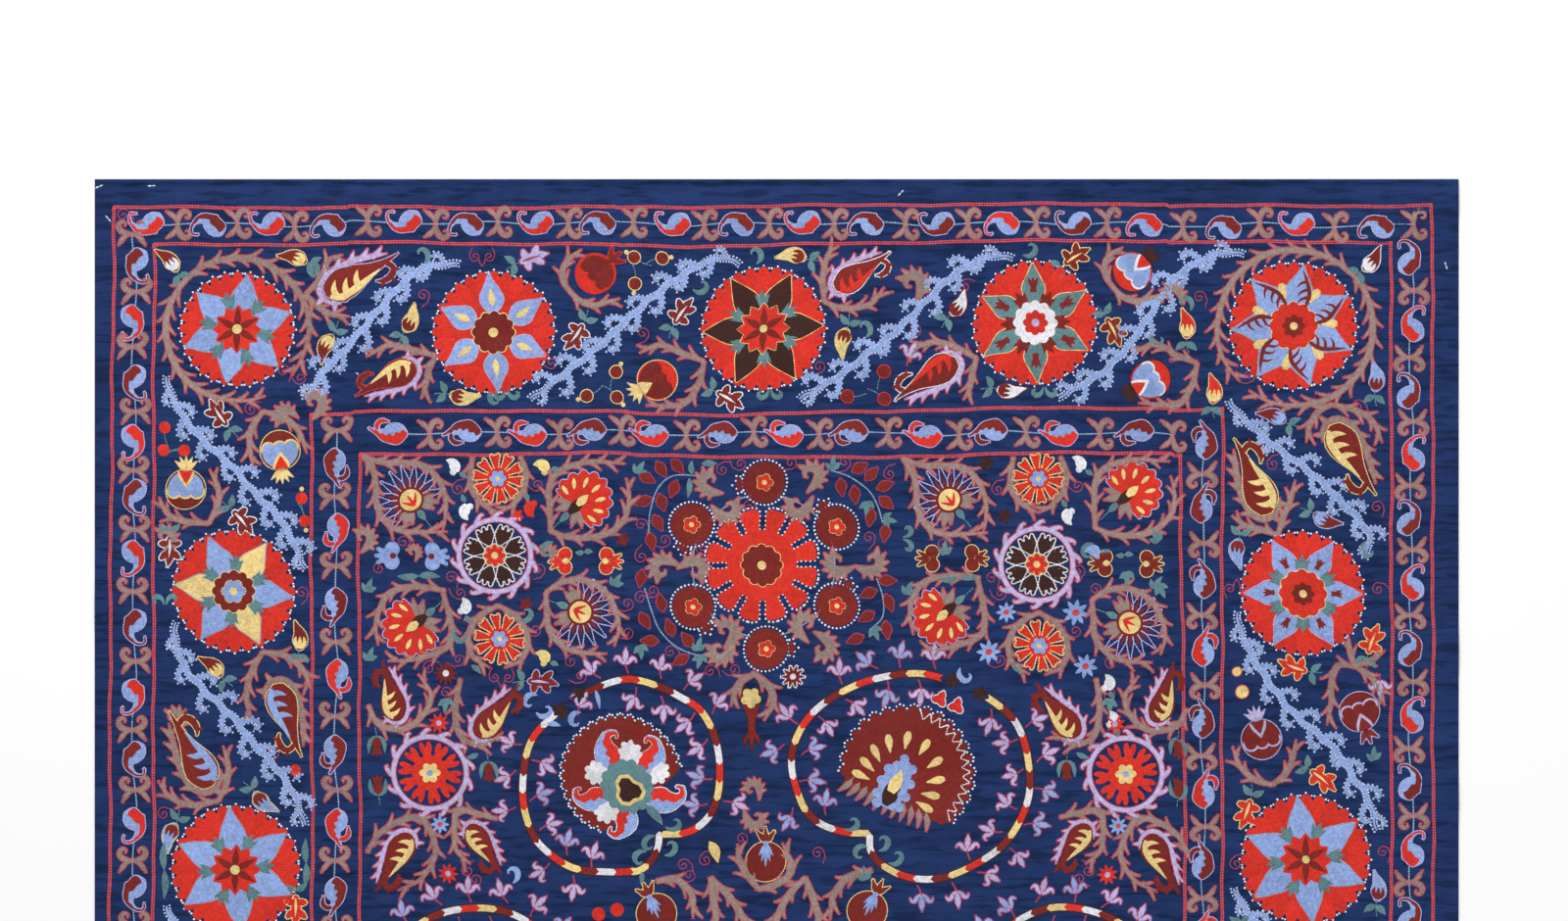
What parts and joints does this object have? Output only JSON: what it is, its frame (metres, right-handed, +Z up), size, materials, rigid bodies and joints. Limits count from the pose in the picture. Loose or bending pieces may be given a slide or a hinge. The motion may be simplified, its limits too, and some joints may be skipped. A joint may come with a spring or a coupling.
{
  "type": "suzani embroidered textile",
  "caption": "Large dark blue suzani hanging of joined loom-width panels, chain stitched with rosettes, rings, botehs and bordered squares, laid flat.",
  "frame": {"origin": "on the surface under the middle of the cloth", "axes": "+Y up the design, +X to its right as seen from above, +Z up out of the embroidered face"},
  "size_m": [2.087, 2.541, 0.0064],
  "materials": {
    "indigo_cotton": "dark indigo blue plain-weave cotton, matt, lightly puckered by the stitching",
    "coral_thread": "coral red silk chain stitch, soft sheen",
    "scarlet_thread": "scarlet silk chain stitch, soft sheen",
    "maroon_thread": "maroon silk chain stitch, soft sheen",
    "brown_thread": "dark brown thread, matt",
    "sky_thread": "light blue silk chain stitch, soft sheen",
    "lilac_thread": "pale lilac silk chain stitch, soft sheen",
    "white_thread": "white silk chain stitch, soft sheen",
    "cream_thread": "cream yellow silk chain stitch, soft sheen",
    "sage_thread": "grey green silk chain stitch, soft sheen",
    "taupe_thread": "taupe grey silk chain stitch, soft sheen"
  },
  "bodies": {
    "root": {"panel_left": "indigo_cotton", "panel_inner_left": "indigo_cotton", "panel_middle": "indigo_cotton", "panel_inner_right": "indigo_cotton", "panel_right": "indigo_cotton"}
  },
  "joints": []
}
